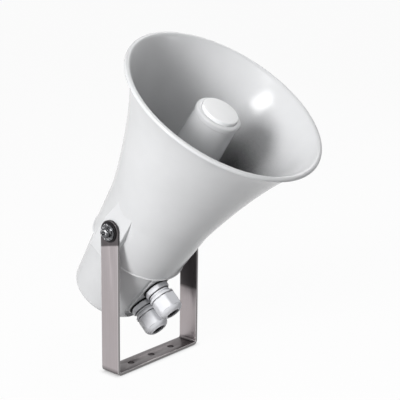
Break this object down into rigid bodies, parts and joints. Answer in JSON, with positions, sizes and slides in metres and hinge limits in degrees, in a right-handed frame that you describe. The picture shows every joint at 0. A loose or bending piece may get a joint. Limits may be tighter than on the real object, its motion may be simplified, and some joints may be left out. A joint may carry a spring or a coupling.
{
  "type": "pa horn speaker",
  "caption": "Weatherproof public-address horn loudspeaker with a flared bell, central reflector, rear housing with cable glands, and a U-shaped tilting bracket.",
  "frame": {"origin": "underside of the bracket's base, on the axis of its middle hole", "axes": "+Z from the base towards the tilt axis, +Y along the tilt axis to the horn's left, +X the way the horn faces"},
  "size_m": [0.2685, 0.2058, 0.3371],
  "materials": {
    "shell": "satin",
    "plug": "satin",
    "gland": "satin",
    "rubber": "matte",
    "black_nylon": "satin",
    "strip": "satin",
    "bolt": "polished",
    "brass": "satin",
    "casting": "matte",
    "steel": "satin",
    "ferrite": "matte",
    "film": "satin",
    "copper": "satin",
    "iron": "matte",
    "block": "satin"
  },
  "bodies": {
    "bracket": {"bracket": "strip"},
    "horn": {"bell": "shell", "chassis_plate": "steel", "cover_gasket": "rubber", "cover_screw_1": "bolt", "cover_screw_2": "bolt", "cover_screw_3": "bolt", "cover_screw_4": "bolt", "diaphragm_ring": "block", "driver_lead_left": "rubber", "driver_lead_right": "rubber", "driver_screw_1": "bolt", "driver_screw_2": "bolt", "driver_screw_3": "bolt", "driver_screw_4": "bolt", "gland_body_front": "gland", "gland_body_rear": "gland", "gland_locknut_front": "gland", "gland_locknut_rear": "gland", "gland_seal_front": "rubber", "gland_seal_rear": "rubber", "gland_washer_front": "rubber", "gland_washer_rear": "rubber", "phase_plug": "casting", "pivot_bolt_left": "bolt", "pivot_bolt_right": "bolt", "pivot_dark_washer_left": "black_nylon", "pivot_dark_washer_right": "black_nylon", "pivot_flat_washer_left": "bolt", "pivot_flat_washer_right": "bolt", "pivot_insert_left": "brass", "pivot_insert_right": "brass", "pivot_spring_washer_left": "bolt", "pivot_spring_washer_right": "bolt", "pole_yoke": "steel", "rear_cover": "shell", "reflector": "shell", "reflector_plug": "plug", "reflector_screw": "bolt", "ring_magnet": "ferrite", "terminal_block": "block", "terminal_screw_1": "bolt", "terminal_screw_2": "bolt", "terminal_screw_3": "bolt", "terminal_screw_4": "bolt", "throat_plate": "casting", "tone_tube": "shell", "top_plate": "steel", "transformer_core": "iron", "transformer_frame": "steel", "transformer_screw_left": "bolt", "transformer_screw_right": "bolt", "transformer_winding": "copper"},
    "gland_nut_front": {"gland_nut_front": "gland"},
    "gland_nut_rear": {"gland_nut_rear": "gland"},
    "diaphragm": {"diaphragm": "film", "voice_coil": "copper"}
  },
  "joints": [
    {"name": "horn_tilt", "type": "hinge", "parent": "bracket", "child": "horn", "pos_m": [0, 0, 0.1476], "axis": [0, -1, 0], "range_deg": [-100, 170]},
    {"name": "gland_nut_front_turn", "type": "hinge", "parent": "horn", "child": "gland_nut_front", "pos_m": [0.00509, 0, 0.07719], "axis": [0.7524, 0, -0.6587], "range_deg": [-45, 720]},
    {"name": "gland_nut_rear_turn", "type": "hinge", "parent": "horn", "child": "gland_nut_rear", "pos_m": [-0.01441, 0, 0.05492], "axis": [0.7524, 0, -0.6587], "range_deg": [-45, 720]},
    {"name": "diaphragm_slide", "type": "slide", "parent": "horn", "child": "diaphragm", "axis": [0.5764, 0, 0.8171], "range_m": [-0.0003, 0.0003], "stiffness_N_per_m": 800}
  ]
}
